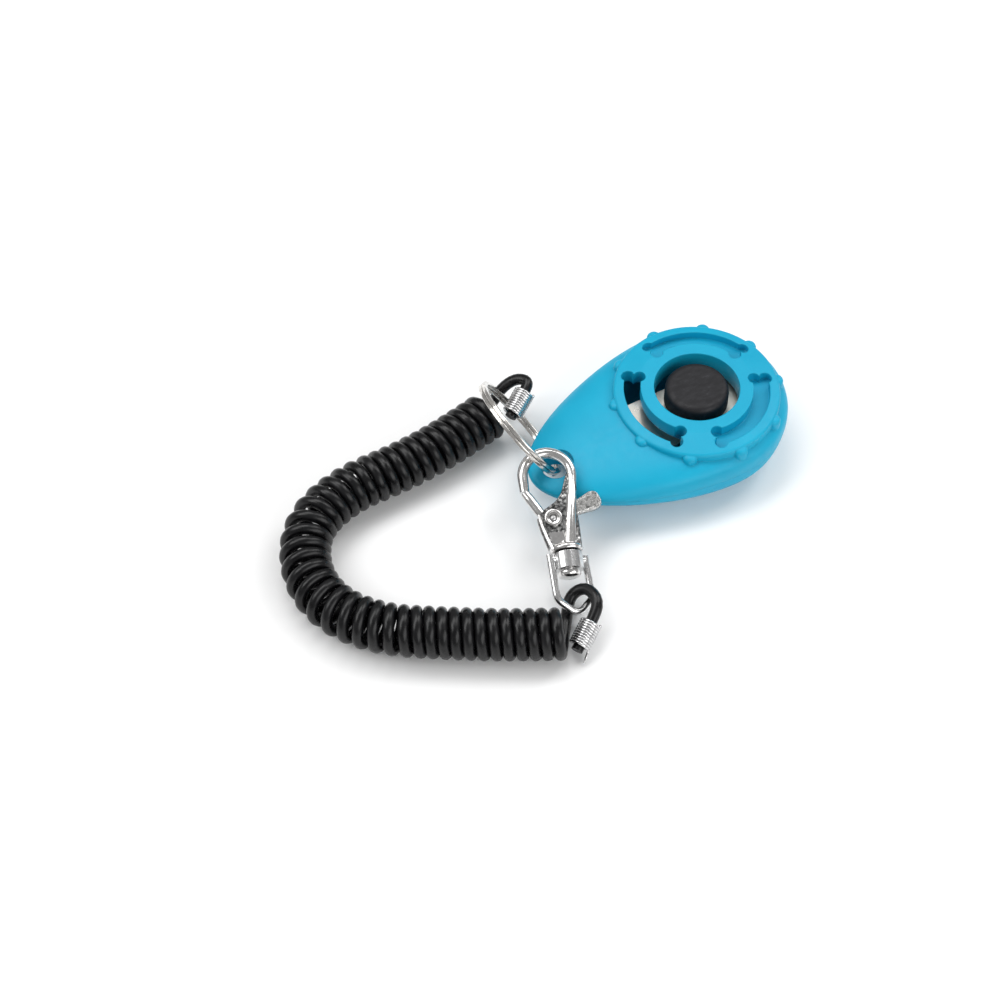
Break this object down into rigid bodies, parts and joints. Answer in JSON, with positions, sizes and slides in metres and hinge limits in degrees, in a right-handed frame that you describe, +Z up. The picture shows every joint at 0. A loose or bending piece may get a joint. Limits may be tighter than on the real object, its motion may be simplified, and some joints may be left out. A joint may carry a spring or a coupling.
{
  "type": "clicker trainer",
  "caption": "Hand-held clicker with a round push button over a sprung steel tongue, on a coiled wrist strap with a split ring and a swivel clasp.",
  "frame": {"origin": "on the button's axis, at the centre of the flat base that the clicker rests on", "axes": "+Z up along the button's axis, +X along the body from the lanyard tip towards its round end"},
  "size_m": [0.1243, 0.0714, 0.0245],
  "materials": {
    "shell_plastic": "satin moulded plastic",
    "inner_plastic": "moulded plastic",
    "button_rubber": "matte black",
    "spring_steel": "spring steel",
    "ring_nickel": "nickel plated",
    "cord": "glossy black",
    "crimp_wire": "bright wire",
    "bail_steel": "nickel plated",
    "clasp_cast": "nickel plated casting",
    "gate_cast": "nickel plated casting",
    "pin_steel": "steel",
    "spring_wire": "spring steel"
  },
  "bodies": {
    "clicker": {"upper_shell": "shell_plastic", "lower_shell": "shell_plastic", "tongue_clamp": "inner_plastic", "tongue_rivets": "inner_plastic"},
    "button": {"button": "button_rubber"},
    "tongue": {"click_tongue": "spring_steel"},
    "ring": {"split_ring": "ring_nickel"},
    "strap": {"coil_cord": "cord", "cord_loop_upper": "cord", "cord_loop_lower": "cord", "crimp_upper": "crimp_wire", "crimp_lower": "crimp_wire", "swivel_bail": "bail_steel"},
    "clasp": {"clasp_body": "clasp_cast", "gate_pin": "pin_steel", "gate_spring": "spring_wire"},
    "gate": {"clasp_gate": "gate_cast"}
  },
  "joints": [
    {"name": "button_press", "type": "slide", "parent": "clicker", "child": "button", "axis": [0, 0, -1], "range_m": [0, 0.0016], "stiffness_N_per_m": 1500},
    {"name": "tongue_flex", "type": "hinge", "parent": "clicker", "child": "tongue", "pos_m": [0.015, 0, 0.01], "axis": [0, -1, 0], "range_deg": [0, 6.23]},
    {"name": "ring_turn", "type": "hinge", "parent": "clicker", "child": "ring", "pos_m": [-0.0361, 0, 0.008], "axis": [0, 0, 1], "range_deg": [-3, 4]},
    {"name": "strap_swing", "type": "hinge", "parent": "ring", "child": "strap", "pos_m": [-0.0366, 0.0233, 0.0082], "axis": [-0.076, -0.9697, 0.2322], "range_deg": [-4, 4]},
    {"name": "clasp_swivel", "type": "hinge", "parent": "strap", "child": "clasp", "pos_m": [-0.0463, -0.0223, 0.0076], "axis": [0.3474, 0.89, 0.2953], "range_deg": [-8, 2.5]},
    {"name": "gate_open", "type": "hinge", "parent": "clasp", "child": "gate", "pos_m": [-0.04469, -0.01267, 0.01055], "axis": [0.1075, 0.2751, -0.9554], "range_deg": [0, 24], "stiffness_Nm_per_rad": 0.02, "springref_deg": -11.46}
  ],
  "couplings": [
    {"joint": "tongue_flex", "follows": "button_press", "rad_per_m": 66.667}
  ]
}
